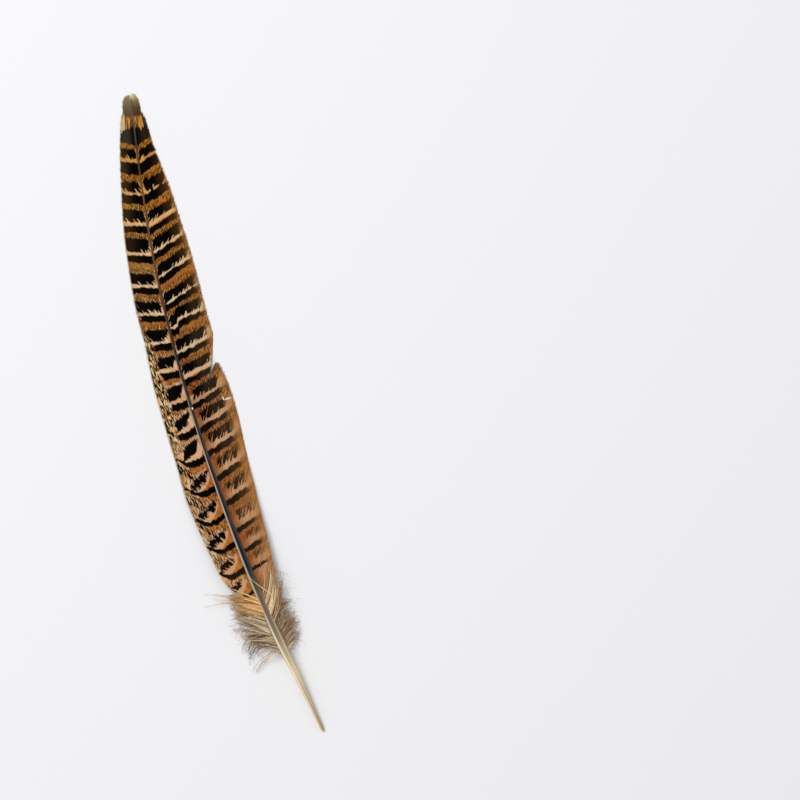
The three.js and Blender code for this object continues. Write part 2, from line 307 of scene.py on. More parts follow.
def mark_distances(side, s, d, units):
    """Distance inside each mark in mm: clean bars, ragged bars, height over the ragged bar.
    Last comes the phase, from 0 at a clean bar to 1 at the next one up."""
    clean = np.full(s.shape, -9.0)
    ragged = np.full(s.shape, -9.0)
    above = np.full(s.shape, -9.0)
    phase = np.zeros(s.shape)
    bar_above = s + ABOVE_LAST_BAR
    for place, half, slope, lead, ragged_half, inner, outer in units:
        rise = bar_rise(side, place, slope, d)
        thin = 1.18 - 0.015 * d
        if side < 0:
            thin = thin - 0.085 * np.clip(d - 6, 0, 6) * (1 - smoothstep(np.array(place), 150, 195))
        thin = thin - 0.16 * smoothstep(np.array(place), 190, 208)
        bar = np.minimum(half * thin - np.abs(s - place - rise), (bar_reach[side](place) - d) / 2)
        clean = np.maximum(clean, bar)
        here = (s >= place + rise) & (s < bar_above)
        phase = np.where(here, (s - place - rise) / (bar_above - place - rise), phase)
        bar_above = place + rise
        if side < 0:
            sunk = 1 - smoothstep(np.array(place), 122, 140)
            rise = (1 - sunk) * slope * d - sunk * (0.34 * (d - 4) + 0.2)
        height = s - place - lead - rise
        # low on the left vane the ends of the ragged bars lean across the barbs
        leant = d
        if side < 0:
            leant = d + 0.5 * height * (1 - smoothstep(np.array(place), 146, 165))
        body = np.minimum(ragged_half - np.abs(height), (leant - inner) * 1.2)
        body = np.minimum(body, (outer - leant) * 0.8)
        nearer = body > ragged
        ragged = np.where(nearer, body, ragged)
        above = np.where(nearer, height, above)
    return clean, ragged, above, phase


# %% The bodies of the barbs
def barb_bodies(side, s, d, z, half, ridge):
    """Points and faces of barbs with four long edges; rows are barbs, columns places along them."""
    def line(ds, dz):
        x, y = in_plan(s + ds, side * d)
        return np.stack([x, y, np.maximum(z + dz, LOWEST)], axis=-1)

    corners = np.stack([line(-half, -0.03), line(0 * half, ridge), line(half, 0.0),
                        line(0 * half, -KEEL * ridge)], axis=2)
    index = np.arange(s.size * 4).reshape(*s.shape, 4)
    a, b = index[:, :-1, :], index[:, 1:, :]
    quads = np.stack([a, b, np.roll(b, -1, axis=2), np.roll(a, -1, axis=2)], axis=-1)
    quads = quads.reshape(-1, 4)
    ends = np.concatenate([index[:, 0, :][:, ::-1], index[:, -1, :]])
    if side < 0:
        quads = quads[:, ::-1]
        ends = ends[:, ::-1]
    return corners.reshape(-1, 3), np.concatenate([quads, ends])


# %% Build one vane
def build_vane(name, side, width, form, lift, slits, units):
    roots = np.arange(FIRST_BARB, LAST_BARB, BARB_SPACING)
    count = len(roots)
    width_above, width_below = width
    extent = np.where(roots < SPLIT_ROOT, barb_extent(roots, width_below),
                      barb_extent(roots, width_above))
    extent += random_numbers.normal(0, UNEVEN_MARGIN, count)
    chance = random_numbers.random(count)

    # rows are barbs, columns are places along the barb
    t = np.linspace(0, 1, BARB_STEPS + 1)[None, :]
    start = 0.55 * shaft_half_width(roots)[:, None]
    d = start + (np.maximum(extent[:, None], start + 0.4) - start) * t
    r = roots[:, None] + 0 * d
    drift = np.convolve(random_numbers.normal(0, 1, count + 12), np.ones(13) / 13, "valid")
    lean = (0.5 * drift + random_numbers.normal(0, 0.035, count))[:, None] * t ** 2
    s = np.minimum(barb_reach(r, d) + slit_shift(r, d, slits) + lean, LENGTH - 0.1)
    taper = 1 - 0.85 * smoothstep(t, POINTED_FROM, 1.0)
    half = 0.5 * BARB_SPACING * BARB_OVERLAP * taper + 0 * d
    lift_by_chance = (chance[:, None] - 0.5) * UNEVEN_HEIGHT * (0.3 + t)
    z = vane_height(s, d, form, lift) + lift_by_chance
    points, faces = barb_bodies(side, s, d, z, half, RIDGE * (1 - 0.55 * t))

    columns = BARB_STEPS + 1
    layout = vane_layout(count, columns, side)
    clean, ragged, above, phase = mark_distances(side, s, d, units)
    numbers = {
        "along": np.repeat(s, 4),
        "across": np.repeat(d, 4),
        "root": np.repeat(r, 4),
        "share": np.repeat(d / form(s), 4),
        "clean": np.repeat(clean, 4),
        "ragged": np.repeat(ragged, 4),
        "above": np.repeat(above, 4),
        "phase": np.repeat(phase, 4),
        "ridge": np.tile([0.0, 1.0, 0.0, 1.0], count * columns),
        "under": np.tile([0.0, 0.0, 0.0, 1.0], count * columns),
        "chance": np.repeat(np.repeat(chance, columns), 4),
    }
    return make_piece(name, points, faces, numbers, layout)


# %% Where the barbs lie on the square map
def vane_layout(count, columns, side):
    """Places on the square map: a column for each barb, its top above and its underside below."""
    left = np.arange(count)[:, None, None] / count
    wide = 1 / count
    up = (np.arange(columns - 1) / (columns - 1))[None, :, None]
    step = 1 / (columns - 1)
    # the four strips of a barb: two slopes of its top, then two of its underside
    strips = np.array([[0.04, 0.5, 0.40, 0.60], [0.5, 0.96, 0.40, 0.60],
                       [0.04, 0.5, 0.02, 0.34], [0.5, 0.96, 0.02, 0.34]])[None, None, :, :]
    u0 = left + wide * strips[..., 0]
    u1 = left + wide * strips[..., 1]
    v0 = strips[..., 2] + strips[..., 3] * 0.98 * up
    v1 = strips[..., 2] + strips[..., 3] * 0.98 * (up + step)
    u0, u1, v0, v1 = np.broadcast_arrays(u0, u1, v0, v1)
    quad = np.stack([np.stack([u0, v0], -1), np.stack([u0, v1], -1),
                     np.stack([u1, v1], -1), np.stack([u1, v0], -1)], axis=3)
    quad = quad.reshape(-1, 4, 2)
    if side < 0:
        quad = quad[:, ::-1]
    cap_u = np.repeat(np.arange(count) / count, 4).reshape(count, 4)
    size = 0.6 / count
    square = np.array([[0, 0], [0, 1], [1, 1], [1, 0]])
    caps = []
    for row in (0.006, 0.012):
        cap = np.stack([cap_u + size * square[:, 0], row + 0.003 * square[:, 1] + 0 * cap_u], -1)
        caps.append(cap)
    return np.concatenate([quad.reshape(-1, 2), np.concatenate(caps).reshape(-1, 2)])


# %% Make both vanes
left_vane = build_vane("left_vane", -1, (left_width, left_width), left_width, left_lift,
                       LEFT_SLITS, LEFT_UNITS)
right_vane = build_vane("right_vane", 1, (right_width_above_split, right_width_below_split),
                        right_form, right_lift, RIGHT_SLITS, RIGHT_UNITS)

# %% [markdown]
# ## Quill and shaft
# The bare quill is a smooth tube of pale horn. Where the vanes begin it turns into the darker
# shaft, which is flatter on top with a faint groove down its middle, and grooved underneath.
# Rings of points swept along the sickle curve give all of that in one body, so no seam can show.

# %% Build the shaft
SHAFT_RINGS = 320
SHAFT_SIDES = 32
SHAFT_DEPTH = 1.12
BLUNT_END = 1.5  # the quill rounds off over this length, from this share of its full width:
BLUNT_SHARE = 0.45
TOP_GROOVE = 0.16  # depth of each groove, as a share of the shaft's half depth
UNDER_GROOVE = 0.30


def build_shaft():
    ends = np.array([0, 0.12, 0.3, 0.6, 1.0])
    s = np.concatenate([ends, np.linspace(BLUNT_END, SHAFT_END, SHAFT_RINGS)])[:, None]
    turn = ((np.arange(SHAFT_SIDES) + 0.5) / SHAFT_SIDES * 2 * np.pi)[None, :]
    rounding = BLUNT_SHARE + (1 - BLUNT_SHARE) * np.sqrt(np.clip(s / BLUNT_END, 0, 1))
    blunt = np.where(s < BLUNT_END, rounding, 1)
    half = shaft_half_width(s) * blunt
    vaned = smoothstep(s, 40, 75)
    deep = half * (1 + (SHAFT_DEPTH - 1) * vaned)
    middle = shaft_top(s) - shaft_half_width(s) * deep / half
    side, up = np.cos(turn), np.sin(turn)
    squarer = 1 + 0.10 * vaned * np.cos(4 * turn + np.pi)
    groove = 1 - TOP_GROOVE * vaned * np.exp(-(side / 0.22) ** 2) * (up > 0)
    under_groove = 1 - UNDER_GROOVE * vaned * np.exp(-(side / 0.30) ** 2) * (up < 0)
    x, y = in_plan(s + 0 * turn, half * side * squarer)
    z = middle + deep * up * groove * under_groove * 0.96
    points = np.stack([x, y, np.maximum(z, LOWEST)], -1)
    rings = len(s)
    index = np.arange(rings * SHAFT_SIDES).reshape(rings, SHAFT_SIDES)
    a, b = index[:-1], index[1:]
    quads = np.stack([a, np.roll(a, -1, 1), np.roll(b, -1, 1), b], -1).reshape(-1, 4)
    faces = quads.tolist() + [index[0][::-1].tolist(), index[-1].tolist()]
    numbers = {"along": np.repeat(s[:, 0], SHAFT_SIDES), "across": np.tile(side[0], rings)}
    return make_piece("shaft", points.reshape(-1, 3), faces, numbers, None)


shaft = build_shaft()

# %% [markdown]
# ## Down at the foot of the vanes
# Below the vanes the barbs have no hooks. Each one is a soft flat strand with fine hairs along
# both edges, so they part, cling in locks and curl at their ends. Particles or hair curves would
# be quick to comb, but a mesh keeps its form wherever the model goes. So each strand is a thin
# tapering ribbon of four sides, and each hair is a sliver with a three-sided foot and a point.

# %% Down settings
DOWN_FIRST_ROOT = 33
DOWN_LAST_ROOT = 54
DOWN_LOCKS = 20
DOWN_CURL = 22
STRANDS_A_LOCK = 8
FINE_STRANDS_A_LOCK = 6
CURLED_HAIRS_A_LOCK = 2
STRANDS_A_STRAY = 6
HAIR_THICK = 0.04
DOWN_STEPS = 20
down_length = {-1: smooth_curve([(33, 13), (38, 17), (46, 15), (54, 11)]),
               1: smooth_curve([(33, 8), (44, 13), (54, 15.5)])}
down_angle = {-1: smooth_curve([(33, 38), (44, 38), (54, 54)]),
              1: smooth_curve([(33, 56), (44, 38), (54, 20)])}
# side, root, length, leaving angle, curl, tint
STRAYS = [(-1, 51.5, 23.5, 54, 12, 0.9), (-1, 50.5, 17, 50, 20, 0.8), (-1, 36, 15, 52, 70, 0.3),
          (-1, 34, 15, 88, 45, 0.0), (-1, 39, 19, 50, 120, -0.8), (-1, 36, 17, 56, 100, -0.6),
          (1, 52, 17, 18, 10, 0.5)]
# loose barbs where the vane ends: side, first root, last root, length, angle, curl, tint, count
LOOSE_BARBS = [(-1, 47.5, 54, 11, 54, 6, 0.9, 40), (1, 43.5, 54, 16.5, 46, -38, 0.35, 34)]
# one pale barb that has flipped over the shaft: along, across, height
FLIPPED_BARB = [(49.0, 1.6, 4.6), (51.8, 3.6, 5.4), (54.6, 4.2, 6.2), (58.0, 2.2, 6.9),
                (61.5, 0.1, 7.0), (65.0, -1.1, 6.6)]


def scatter(place):
    wave = math.sin(place * 127.1 + 11.7) * 43758.5453
    return wave - math.floor(wave)


def lock_shape(side, i):
    """Root, length, leaving angle and curl of one lock of down."""
    seed = i * 3 + (100 if side > 0 else 0)
    root = DOWN_FIRST_ROOT + (DOWN_LAST_ROOT - DOWN_FIRST_ROOT) * i / (DOWN_LOCKS - 1)
    long = down_length[side](root) * (0.88 + 0.24 * scatter(seed))
    leaving = down_angle[side](root) + 10 * (scatter(seed + 1) - 0.5)
    return root, long, leaving, DOWN_CURL * 2 * scatter(seed + 2)


def strand_path(side, root, long, leaving, curl, wave, height, on_vane=False):
    """Points of one strand; it leaves the shaft at an angle, sways, and curls at its end.
    It droops to the given height, or lies that much over the vane."""
    t = np.linspace(0, 1, DOWN_STEPS + 1)
    sway = wave[0] * np.sin(wave[1] + wave[2] * t) * t
    heading = np.radians(leaving + curl * t ** 1.6 + sway)
    step = long / DOWN_STEPS
    s = root + np.concatenate([[0], np.cumsum(np.cos(heading[:-1]) * step)])
    d = np.concatenate([[0], np.cumsum(np.sin(heading[:-1]) * step)])
    top = shaft_top(root) - shaft_half_width(root)
    z = top + (height - top) * t ** 1.3
    if on_vane:
        form, lift = (left_width, left_lift) if side < 0 else (right_form, right_lift)
        z = vane_height(s, d, form, lift) + height
    x, y = in_plan(s, side * d)
    return np.stack([x, y, np.maximum(z, 0.12)], -1), t


# %% Ribbons and hairs as arrays
def directions(path):
    """Which way the path runs, and the level direction across it."""
    ahead = np.gradient(path, axis=0)
    ahead /= np.linalg.norm(ahead, axis=1, keepdims=True)
    beside = np.cross(ahead, [0, 0, 1.0])
    beside /= np.linalg.norm(beside, axis=1, keepdims=True)
    return ahead, beside


def ribbon(path, half_width, half_height):
    """A flat four-sided strand along a path, as points and faces."""
    ahead, beside = directions(path)
    over = np.cross(beside, ahead)
    wide, tall = half_width[:, None], half_height[:, None]
    ring = np.stack([beside * wide, over * tall, -beside * wide, -over * tall], axis=1)
    points = path[:, None, :] + ring
    index = np.arange(len(path) * 4).reshape(len(path), 4)
    a, b = index[:-1], index[1:]
    quads = np.stack([a, np.roll(a, -1, 1), np.roll(b, -1, 1), b], -1).reshape(-1, 4)
    return points.reshape(-1, 3), np.concatenate([quads, [index[0][::-1], index[-1]]])


def hairs(path, t, count, longest, widest, rng):
    """Short tapering slivers that lie close along both edges of a strand."""
    place = rng.uniform(0, 1, count) ** 0.7 * 0.98
    ahead, beside = directions(path)
    at, ahead, beside = (np.stack([np.interp(place, t, row[:, k]) for k in range(3)], -1)
                         for row in (path, ahead, beside))
    flip = np.where(np.arange(count) % 2, 1.0, -1.0)[:, None]
    open_angle = np.radians(rng.uniform(8, widest, count))[:, None]
    long = (rng.uniform(0.35, 1.0, count) * longest * (1 - 0.4 * place))[:, None]
    end = at + (ahead * np.cos(open_angle) + beside * flip * np.sin(open_angle)) * long
    end[:, 2] = np.maximum(end[:, 2] + rng.uniform(-0.2, 0.3, count), 0.05)
    base = np.stack([at + beside * HAIR_THICK, at - beside * HAIR_THICK,
                     at + np.array([0, 0, HAIR_THICK])], 1)
    points = np.concatenate([base, end[:, None, :]], axis=1).reshape(-1, 3)
    index = np.arange(count * 4).reshape(-1, 4)
    order = [(0, 1, 3), (1, 2, 3), (2, 0, 3), (2, 1, 0)]
    return points, np.concatenate([index[:, list(face)] for face in order]), place


# %% Comb the down
def wave_of(rng, most):
    return rng.uniform(1, most), rng.uniform(0, 6.3), rng.uniform(3, 6)


def down_strands(side, rng):
    """Every strand as its path, half width, hair count, hair length, hair angle and tint."""
    for i in range(DOWN_LOCKS):
        root, long, leaving, curl = lock_shape(side, i)
        for _ in range(STRANDS_A_LOCK):
            path = strand_path(side, root + rng.normal(0, 0.55), long * rng.uniform(0.72, 1.04),
                               leaving + rng.normal(0, 2.5), curl + rng.normal(0, 8),
                               wave_of(rng, 4), rng.uniform(0.3, 1.8))
            yield path, rng.uniform(0.14, 0.34), 40, 2.8, 10, 0.0
        # fine strands stray between the locks
        for _ in range(FINE_STRANDS_A_LOCK):
            path = strand_path(side, root + rng.normal(0, 1.0), long * rng.uniform(0.6, 1.0),
                               leaving + rng.normal(0, 9), curl + rng.normal(-6, 26),
                               wave_of(rng, 10), rng.uniform(0.3, 2.4))
            yield path, rng.uniform(0.05, 0.10), 26, 2.2, 24, 0.0
        # hairs that have worked loose and curl up at the lock's end
        for _ in range(CURLED_HAIRS_A_LOCK):
            path = strand_path(side, root + rng.normal(0, 0.5), long * rng.uniform(0.95, 1.15),
                               leaving + rng.normal(0, 5), curl + rng.uniform(40, 190),
                               wave_of(rng, 14), rng.uniform(0.2, 0.8))
            yield path, HAIR_THICK, 8, 1.3, 35, -0.8
    for stray_side, root, long, leaving, curl, tint in STRAYS:
        for _ in range(STRANDS_A_STRAY if stray_side == side else 0):
            path = strand_path(side, root + rng.normal(0, 0.4), long * rng.uniform(0.75, 1),
                               leaving + rng.normal(0, 2.5), curl + rng.normal(0, 7),
                               wave_of(rng, 4), rng.uniform(0.35, 0.9))
            yield path, rng.uniform(0.06, 0.15), 20, 2.0, 20, tint
    for loose_side, first, last, long, leaving, curl, tint, count in LOOSE_BARBS:
        for i in range(count if loose_side == side else 0):
            root = first + (last - first) * i / (count - 1)
            path = strand_path(side, root, long * rng.uniform(0.8, 1.15),
                               leaving + rng.normal(0, 4), rng.normal(curl, 8),
                               wave_of(rng, 4), rng.uniform(0.0, 0.6), on_vane=True)
            yield path, rng.uniform(0.14, 0.36), 16, 1.4, 9, tint
    if side > 0:
        t = np.linspace(0, 1, DOWN_STEPS + 1)
        knots = np.linspace(0, 1, len(FLIPPED_BARB))
        s, d, z = (smooth_curve(list(zip(knots, column)))(t) for column in zip(*FLIPPED_BARB))
        yield (np.stack([*in_plan(s, d), z], -1), t), 0.2, 16, 1.0, 10, 0.1


# %% Build the down
def build_down(name, side, seed):
    rng = np.random.default_rng(seed)
    points, faces, reach, chance, tint = [], [], [], [], []
    base = 0
    for (path, t), half_width, hair_count, longest, widest, ochre in down_strands(side, rng):
        taper = 1 - 0.85 * t ** 1.5
        body, body_faces = ribbon(path, half_width * taper, 0.05 * taper)
        slivers, sliver_faces, place = hairs(path, t, hair_count, longest, widest, rng)
        faces += (body_faces + base).tolist() + (sliver_faces + base + len(body)).tolist()
        points += [body, slivers]
        reach += [np.repeat(t, 4), np.repeat(place, 4)]
        chance += [np.full(len(body) + len(slivers), rng.random())]
        tint += [np.full(len(body) + len(slivers), ochre)]
        base += len(body) + len(slivers)
    numbers = {"reach": np.concatenate(reach), "chance": np.concatenate(chance),
               "tint": np.concatenate(tint)}
    return make_piece(name, np.concatenate(points), faces, numbers, None, smooth=False)


left_down = build_down("left_down", -1, 11)
right_down = build_down("right_down", 1, 12)

# %% [markdown]
# ## Colour that follows the barbs
# The ground runs from ochre at the tip to a warm tan lower down, with the black marks laid over
# it. The marks fray because each barb is dyed a little further than the next. So every distance
# is pushed by a noise that reads the barb's root before the edge is cut, and the fraying runs
# along the barbs as it does on a real feather.

# %% Node helpers
def srgb(code):
    """A colour given as six hex digits, as the linear numbers that shaders use."""
    parts = [int(code[i:i + 2], 16) / 255 for i in (0, 2, 4)]
    return [p / 12.92 if p <= 0.04045 else ((p + 0.055) / 1.055) ** 2.4 for p in parts] + [1.0]


class Tree:
    """A node tree with short calls: every value may be a number or another node's output."""

    def __init__(self, tree):
        self.tree = tree

    def add(self, kind, values=(), **settings):
        node = self.tree.nodes.new(kind)
        for key, value in settings.items():
            setattr(node, key, value)
        for key, value in dict(values).items():
            self.put(node.inputs[key], value)
        return node

    def put(self, socket, value):
        if isinstance(value, bpy.types.NodeSocket):
            self.tree.links.new(value, socket)
        else:
            socket.default_value = value

    def math(self, operation, a, b=0.0, c=0.0):
        values = {0: a, 1: b}
        if operation == "MULTIPLY_ADD":
            values[2] = c
        return self.add("ShaderNodeMath", values, operation=operation).outputs[0]

    def step(self, value, low, high, start=0.0, end=1.0):
        node = self.add("ShaderNodeMapRange", {"Value": value, "From Min": low, "From Max": high,
                                               "To Min": start, "To Max": end},
                        interpolation_type="SMOOTHSTEP")
        return node.outputs["Result"]

    def mix(self, share, a, b, blend="MIX"):
        node = self.add("ShaderNodeMix", data_type="RGBA", blend_type=blend, clamp_factor=True)
        self.put(node.inputs["Factor"], share)
        self.put(node.inputs["A"], a)
        self.put(node.inputs["B"], b)
        return node.outputs["Result"]

    def number(self, label):
        return self.add("ShaderNodeAttribute", attribute_name=label).outputs["Fac"]

    def noise(self, vector, scale, detail=2.0, rough=0.5):
        node = self.add("ShaderNodeTexNoise", {"Vector": vector, "Scale": scale,
                                               "Detail": detail, "Roughness": rough})
        return node.outputs["Fac"]

    def vector(self, x, y, z=0.0):
        return self.add("ShaderNodeCombineXYZ", {"X": x, "Y": y, "Z": z}).outputs[0]

    def ramp(self, value, stops):
        node = self.add("ShaderNodeValToRGB", {"Fac": value})
        band = node.color_ramp.elements
        for i, (place, colour) in enumerate(stops):
            stop = band[i] if i < 2 else band.new(place)
            stop.position = place
            stop.color = colour
        return node.outputs["Color"]


def group_tree(name, inputs, outputs):
    """An empty node group with named sockets: kind is Float, Color or Vector."""
    group = bpy.data.node_groups.new(name, "ShaderNodeTree")
    for label, kind in inputs:
        group.interface.new_socket(label, in_out="INPUT", socket_type="NodeSocket" + kind)
    for label, kind in outputs:
        group.interface.new_socket(label, in_out="OUTPUT", socket_type="NodeSocket" + kind)
    given = group.nodes.new("NodeGroupInput")
    made = group.nodes.new("NodeGroupOutput")
    return Tree(group), given.outputs, made.inputs


def new_material(name):
    material = bpy.data.materials.new(name)
    material.use_nodes = True
    tree = Tree(material.node_tree)
    shader = material.node_tree.nodes["Principled BSDF"]
    return material, tree, shader


# %% Where the cream lies
def put_cream(tree, given, made, fine):
    # the cream lies under the ragged bar, and round it where Halo is one
    frayed = tree.math("ADD", given["Ragged"], tree.math("MULTIPLY", fine, 1.6))
    deep = tree.math("MULTIPLY_ADD", given["Halo"], 1.6, frayed)
    under = tree.math("MULTIPLY", tree.step(deep, -2.2, -1.7),
                      tree.step(given["Above"], 0.3, -0.3))
    reach_out = tree.step(given["Across"], 5.0, 9.0, 0.0, 1.6)
    round_it = tree.math("ADD", frayed, reach_out)
    round_it = tree.math("MULTIPLY", tree.step(round_it, -1.7, -1.1), given["Halo"])
    by_shaft = tree.math("MULTIPLY", tree.step(given["Across"], 1.5, 1.1),
                         tree.step(frayed, -0.7, -0.3))
    cream = tree.math("MAXIMUM", tree.math("MAXIMUM", under, round_it), by_shaft)
    rounded = tree.math("MULTIPLY", given["Above"], given["Above"])
    rounded = tree.math("MULTIPLY_ADD", rounded, 0.30, 1.6)
    rounded = tree.math("MULTIPLY", rounded, tree.step(given["Along"], 116, 96, 0.0, -1.0))
    off_shaft = tree.math("ADD", tree.math("ADD", given["Across"], rounded), fine)
    tree.put(made["Cream"], tree.math("MULTIPLY", cream, tree.step(off_shaft, 0.1, 1.0)))


# %% Specks, flecks and strokes
def put_specks(tree, given, made):
    # round specks grow towards the ragged bar from above; pale flecks lie between them
    speck_place = tree.vector(tree.math("MULTIPLY", given["Root"], 0.6),
                              tree.math("MULTIPLY", given["Across"], 1.9), given["Seed"])
    dots = tree.add("ShaderNodeTexVoronoi", {"Vector": speck_place, "Scale": 1.05},
                    voronoi_dimensions="2D")
    size = tree.step(given["Above"], 5.2, 3.6, 0.0, 0.34)
    crowd = tree.step(given["Above"], 6.0, 1.4, 0.0, 0.13)
    upper = tree.step(given["Above"], 0.8, 1.3)
    specks = tree.math("SUBTRACT", size, dots.outputs["Distance"])
    tree.put(made["Specks"], tree.math("MULTIPLY", tree.step(specks, -0.01, 0.03), upper))
    fleck_place = tree.vector(tree.math("ADD", given["Root"], 40.0),
                              tree.math("MULTIPLY", given["Across"], 1.6), given["Seed"])
    flecks = tree.math("ADD", tree.noise(fleck_place, 1.0, 0), crowd)
    tree.put(made["Flecks"], tree.math("MULTIPLY", tree.step(flecks, 0.66, 0.75), upper))
    stroke_place = tree.vector(tree.math("MULTIPLY", given["Root"], 0.75),
                               tree.math("MULTIPLY", given["Across"], 1.9),
                               tree.math("ADD", given["Seed"], 20.0))
    strokes = tree.noise(stroke_place, 0.90, 1, 0.5)
    tree.put(made["Strokes"], tree.step(strokes, 0.48, 0.51))


# %% The barring, as a group used by both vanes
def barring_group():
    """Masks of the marks, frayed along the barbs."""
    tree, given, made = group_tree(
        "barring",
        [("Clean", "Float"), ("Ragged", "Float"), ("Above", "Float"), ("Root", "Float"),
         ("Across", "Float"), ("Along", "Float"), ("Seed", "Float"), ("Halo", "Float")],
        [("Clean", "Float"), ("Ragged", "Float"), ("Cream", "Float"), ("Specks", "Float"),
         ("Strokes", "Float"), ("Flecks", "Float")])
    by_barb = tree.vector(given["Root"], tree.math("MULTIPLY", given["Across"], 0.12),
                          given["Seed"])
    sway = tree.math("SUBTRACT", tree.noise(by_barb, 0.36, 2, 0.6), 0.5)
    fine = tree.math("SUBTRACT", tree.noise(by_barb, 1.3, 2, 0.6), 0.5)
    spikes = tree.step(tree.noise(by_barb, 0.90, 1, 0.4), 0.54, 0.68)

    # clean bars only sway a little
    push = tree.math("MULTIPLY_ADD", sway, 2.4, tree.math("MULTIPLY", fine, 0.9))
    clean = tree.math("ADD", given["Clean"], push)
    tree.put(made["Clean"], tree.step(clean, -0.06, 0.08))

    # ragged bars are bitten by cream spikes from below and by short nicks from above
    below = tree.step(given["Above"], 0.5, -0.5)
    over = tree.math("SUBTRACT", 1.0, below)
    bite = tree.math("MULTIPLY_ADD", spikes, -1.35, tree.step(given["Along"], 150, 175, 0.0, 0.2))
    nick = tree.math("MULTIPLY", tree.math("MULTIPLY", fine, over), 2.6)
    ragged = tree.math("ADD", given["Ragged"], tree.math("MULTIPLY_ADD", bite, below, nick))
    ragged = tree.math("ADD", ragged, tree.math("MULTIPLY_ADD", sway, 1.6, 0.32))
    # lower down, single barbs stay pale right through the mark
    missed = tree.step(tree.noise(by_barb, 2.6, 0), 0.60, 0.68)
    missed = tree.math("MULTIPLY", missed, tree.step(given["Along"], 118, 104))
    ragged = tree.math("MULTIPLY_ADD", missed, -1.3, ragged)
    tree.put(made["Ragged"], tree.step(ragged, -0.06, 0.08))

    put_cream(tree, given, made, fine)
    put_specks(tree, given, made)
    return tree.tree


barring = barring_group()
print("barring group:", len(barring.nodes), "nodes")


# %% Two small effects that materials share
def barb_shade_group():
    """Every barb has its own shade, and a lighter rib with darker edges that are painted shade in
    the grooves between barbs; the underside is dull.
    """
    tree, given, made = group_tree(
        "barb shade",
        [("Colour", "Color"), ("Chance", "Float"), ("Ridge", "Float"), ("Under", "Float")],
        [("Colour", "Color")])
    shade = tree.math("MULTIPLY_ADD", given["Chance"], 0.20, 0.90)
    # the edges, where barbs meet, are darker than the rib: painted shade in the grooves between
    # barbs
    rib_and_groove_shade = tree.math("MULTIPLY_ADD", given["Ridge"], 0.14, 0.92)
    shade = tree.math("MULTIPLY", shade, rib_and_groove_shade)
    colour = tree.mix(1.0, given["Colour"], tree.vector(shade, shade, shade), "MULTIPLY")
    dull = tree.math("MULTIPLY", given["Under"], 0.55)
    tree.put(made["Colour"], tree.mix(dull, colour, srgb("8c7a62")))
    return tree.tree


def bleached_spot_group():
    """One inside a small oval at a given place along and across, nought outside it."""
    tree, given, made = group_tree(
        "bleached spot",
        [("Along", "Float"), ("Across", "Float"), ("Place Along", "Float"),
         ("Place Across", "Float"), ("Tall", "Float"), ("Wide", "Float")], [("Mask", "Float")])
    up = tree.math("SUBTRACT", given["Along"], given["Place Along"])
    up = tree.math("DIVIDE", up, given["Tall"])
    out = tree.math("SUBTRACT", given["Across"], given["Place Across"])
    out = tree.math("DIVIDE", out, given["Wide"])
    gap = tree.math("ADD", tree.math("MULTIPLY", up, up), tree.math("MULTIPLY", out, out))
    tree.put(made["Mask"], tree.step(tree.math("SQRT", gap), 1.1, 0.8))
    return tree.tree


barb_shade = barb_shade_group()
bleached_spot = bleached_spot_group()


def spot_mask(tree, along, across, place_along, place_across, tall, wide):
    spot = tree.add("ShaderNodeGroup", {
        "Along": along, "Across": across, "Place Along": place_along,
        "Place Across": place_across, "Tall": tall, "Wide": wide}, node_tree=bleached_spot)
    return spot.outputs["Mask"]


# %% [markdown]
# The two vanes share the marks but not the outer third. The left vane breaks up into fine black
# strokes on cream there, the right one fades through olive brown to a soft tan.


# %% Marks of one vane
def placed_marks(tree, side, along, across):
    marks = tree.add("ShaderNodeGroup", node_tree=barring)
    halo = tree.step(along, 158, 132) if side < 0 else 0.0
    values = {"Clean": tree.number("clean"), "Ragged": tree.number("ragged"),
              "Above": tree.number("above"), "Root": tree.number("root"), "Across": across,
              "Along": along, "Seed": 3.0 if side < 0 else 8.0, "Halo": halo}
    for key, value in values.items():
        tree.put(marks.inputs[key], value)
    return marks.outputs


